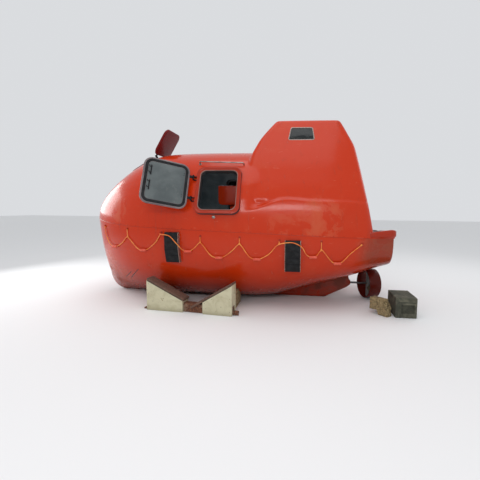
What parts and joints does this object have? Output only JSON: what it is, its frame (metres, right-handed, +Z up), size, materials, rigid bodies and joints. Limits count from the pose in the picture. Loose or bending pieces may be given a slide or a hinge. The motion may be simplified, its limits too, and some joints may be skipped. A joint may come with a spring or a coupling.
{
  "type": "enclosed lifeboat",
  "caption": "Small enclosed lifeboat with a raised aft tower, open side and bow lids, grab lines, fenders and a steering nozzle, standing on its keel between chock stands.",
  "frame": {"origin": "on the floor, in the middle of the keel's flat underside", "axes": "+Z up, -X towards the bow, -Y towards the port side"},
  "size_m": [5.269, 2.8527, 2.9395],
  "materials": {
    "gelcoat": "weathered gloss gelcoat",
    "shaded_gelcoat": "dark red gelcoat",
    "glazing": "tinted pane",
    "steel": "dull",
    "rubber": "matte",
    "rope": "laid rope",
    "liner": "grey",
    "seat_plastic": "matte",
    "engine_paint": "satin",
    "bronze": "tarnished",
    "cream_board": "flaking cream paint",
    "rusty_steel": "rusted",
    "timber": "weathered",
    "concrete": "stained"
  },
  "bodies": {
    "hull": {"hull_shell": "gelcoat", "canopy_shell": "gelcoat", "window_port": "glazing", "window_starboard": "glazing", "window_front": "glazing", "window_aft": "glazing", "grab_rail_port": "steel", "grab_rail_starboard": "steel", "fender_fore_port": "rubber", "fender_fore_starboard": "rubber", "fender_aft_port": "rubber", "fender_aft_starboard": "rubber", "grab_line_port": "rope", "grab_line_starboard": "rope", "cabin_sole": "liner", "bench_port": "liner", "bench_starboard": "liner", "helm_console": "gelcoat", "helm_platform": "liner", "helm_seat": "seat_plastic", "helm_wheel": "rubber", "engine_block": "engine_paint", "lifting_hook": "steel", "stand_beam_port": "rusty_steel", "stand_beam_starboard": "rusty_steel", "saddle_fore_port": "cream_board", "saddle_fore_starboard": "cream_board", "saddle_aft_port": "cream_board", "saddle_aft_starboard": "cream_board", "bearer_fore_port": "rusty_steel", "bearer_fore_starboard": "rusty_steel", "bearer_aft_port": "rusty_steel", "bearer_aft_starboard": "rusty_steel", "chock_fore_port": "timber", "chock_fore_starboard": "timber", "chock_aft_port": "timber", "chock_aft_starboard": "timber", "stern_block": "concrete", "stern_timber": "timber"},
    "side_lid_port": {"side_lid_port_shell": "gelcoat", "side_lid_port_seal": "rubber", "side_lid_port_liner": "liner"},
    "side_lid_starboard": {"side_lid_starboard_shell": "gelcoat", "side_lid_starboard_seal": "rubber", "side_lid_starboard_liner": "liner"},
    "bow_lid": {"bow_lid": "shaded_gelcoat"},
    "aft_door": {"aft_door": "gelcoat"},
    "roof_hatch_lid": {"roof_hatch_lid": "gelcoat"},
    "propeller": {"propeller": "bronze", "propeller_shaft": "steel"},
    "steering_nozzle": {"steering_nozzle": "shaded_gelcoat"}
  },
  "joints": [
    {"name": "side_lid_port_hinge", "type": "hinge", "parent": "hull", "child": "side_lid_port", "pos_m": [-0.426, -1.06344, 1.81107], "axis": [0, -0.3518, -0.9361], "range_deg": [-150, 0]},
    {"name": "side_lid_starboard_hinge", "type": "hinge", "parent": "hull", "child": "side_lid_starboard", "pos_m": [-0.426, 1.06344, 1.81107], "axis": [0, -0.3518, 0.9361], "range_deg": [0, 150]},
    {"name": "bow_lid_hinge", "type": "hinge", "parent": "hull", "child": "bow_lid", "pos_m": [-1.37259, 0, 2.42175], "axis": [0, 1, 0], "range_deg": [-151, 0]},
    {"name": "aft_door_hinge", "type": "hinge", "parent": "hull", "child": "aft_door", "pos_m": [2.2085, 0.348, 1.55809], "axis": [-0.1959, 0, 0.9806], "range_deg": [0, 110]},
    {"name": "roof_hatch_hinge", "type": "hinge", "parent": "hull", "child": "roof_hatch_lid", "pos_m": [0.961, 0, 2.9275], "axis": [0, -1, 0], "range_deg": [0, 100]},
    {"name": "propeller_spin", "type": "hinge", "parent": "hull", "child": "propeller", "pos_m": [2.352, 0, 0.266], "axis": [1, 0, 0], "continuous": true},
    {"name": "nozzle_steering", "type": "hinge", "parent": "hull", "child": "steering_nozzle", "pos_m": [2.352, 0, 0.266], "axis": [0, 0, 1], "range_deg": [-53, 17]}
  ]
}
